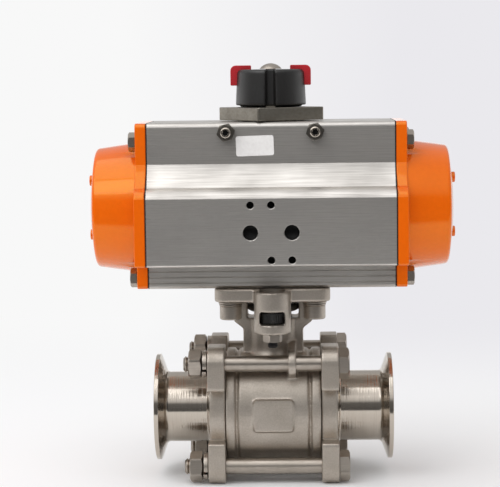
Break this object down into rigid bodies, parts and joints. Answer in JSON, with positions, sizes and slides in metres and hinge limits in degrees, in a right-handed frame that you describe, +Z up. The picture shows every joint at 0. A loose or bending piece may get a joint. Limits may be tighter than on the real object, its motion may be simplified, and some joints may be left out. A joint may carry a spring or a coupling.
{
  "type": "pneumatic actuated ball valve",
  "caption": "Quarter-turn ball valve with clamp pipe ends, driven by an opposed-piston rack-and-pinion air actuator with painted end caps and a turning position indicator.",
  "frame": {"origin": "on the ground under the drive axis, midway between the two pipe faces", "axes": "+X along the pipe towards the bolt heads, -Y out of the face with the air ports, +Z up the drive axis to the position indicator"},
  "size_m": [0.2164, 0.094, 0.2475],
  "materials": {
    "cast_stainless": "cast and bead-blasted stainless steel, satin",
    "polished_stainless": "turned and polished stainless steel",
    "bolt_stainless": "bright stainless steel fastener",
    "brushed_aluminium": "extruded, brushed and clear anodised aluminium",
    "orange_paint": "die-cast aluminium with gloss orange powder coat",
    "zinc_plate": "zinc-plated steel, dull grey",
    "dark_steel": "oiled dark steel",
    "black_plastic": "moulded black plastic, satin",
    "red_plastic": "moulded red plastic, gloss",
    "white_ptfe": "turned white fluoropolymer",
    "black_rubber": "black nitrile rubber",
    "acetal": "turned natural acetal"
  },
  "bodies": {
    "housing": {"actuator_body": "brushed_aluminium", "body_bolt_lower_front": "bolt_stainless", "body_bolt_lower_rear": "bolt_stainless", "body_bolt_upper_front": "bolt_stainless", "body_bolt_upper_rear": "bolt_stainless", "body_nut_lower_front": "bolt_stainless", "body_nut_lower_rear": "bolt_stainless", "body_nut_upper_front": "bolt_stainless", "body_nut_upper_rear": "bolt_stainless", "left_body_seal": "white_ptfe", "left_cap_gasket": "black_rubber", "left_cap_screw_lower_front": "bolt_stainless", "left_cap_screw_lower_rear": "bolt_stainless", "left_cap_screw_upper_front": "bolt_stainless", "left_cap_screw_upper_rear": "bolt_stainless", "left_end": "polished_stainless", "left_end_cap": "orange_paint", "left_seat": "white_ptfe", "left_stop_nut": "bolt_stainless", "left_stop_screw": "bolt_stainless", "lock_nut": "bolt_stainless", "lock_screw": "black_plastic", "lower_pinion_bearing": "acetal", "mounting_screw_front_left": "bolt_stainless", "mounting_screw_front_right": "bolt_stainless", "mounting_screw_rear_left": "bolt_stainless", "mounting_screw_rear_right": "bolt_stainless", "right_body_seal": "white_ptfe", "right_cap_gasket": "black_rubber", "right_cap_screw_lower_front": "bolt_stainless", "right_cap_screw_lower_rear": "bolt_stainless", "right_cap_screw_upper_front": "bolt_stainless", "right_cap_screw_upper_rear": "bolt_stainless", "right_end": "polished_stainless", "right_end_cap": "orange_paint", "right_seat": "white_ptfe", "right_stop_nut": "bolt_stainless", "right_stop_screw": "bolt_stainless", "spring_washer_lower_front": "bolt_stainless", "spring_washer_lower_rear": "bolt_stainless", "spring_washer_upper_front": "bolt_stainless", "spring_washer_upper_rear": "bolt_stainless", "stem_packing": "white_ptfe", "upper_pinion_bearing": "acetal", "valve_body": "cast_stainless"},
    "rotor": {"ball": "polished_stainless", "stem": "dark_steel", "gland_nut": "dark_steel", "pinion": "dark_steel", "stop_cam": "dark_steel", "indicator_plate": "zinc_plate", "indicator_knob": "black_plastic", "left_pointer": "red_plastic", "right_pointer": "red_plastic", "indicator_screw": "polished_stainless"},
    "left_piston_set": {"left_piston": "brushed_aluminium", "left_piston_ring": "black_rubber"},
    "right_piston_set": {"right_piston": "brushed_aluminium", "right_piston_ring": "black_rubber"}
  },
  "joints": [
    {"name": "valve_turn", "type": "hinge", "parent": "housing", "child": "rotor", "pos_m": [0, 0, 0.162], "axis": [0, 0, -1], "range_deg": [0, 90]},
    {"name": "left_piston_slide", "type": "slide", "parent": "housing", "child": "left_piston_set", "axis": [1, 0, 0], "range_m": [0, 0.022]},
    {"name": "right_piston_slide", "type": "slide", "parent": "housing", "child": "right_piston_set", "axis": [-1, 0, 0], "range_m": [0, 0.022]}
  ],
  "couplings": [
    {"joint": "left_piston_slide", "follows": "valve_turn", "m_per_rad": 0.014},
    {"joint": "right_piston_slide", "follows": "valve_turn", "m_per_rad": 0.014}
  ]
}
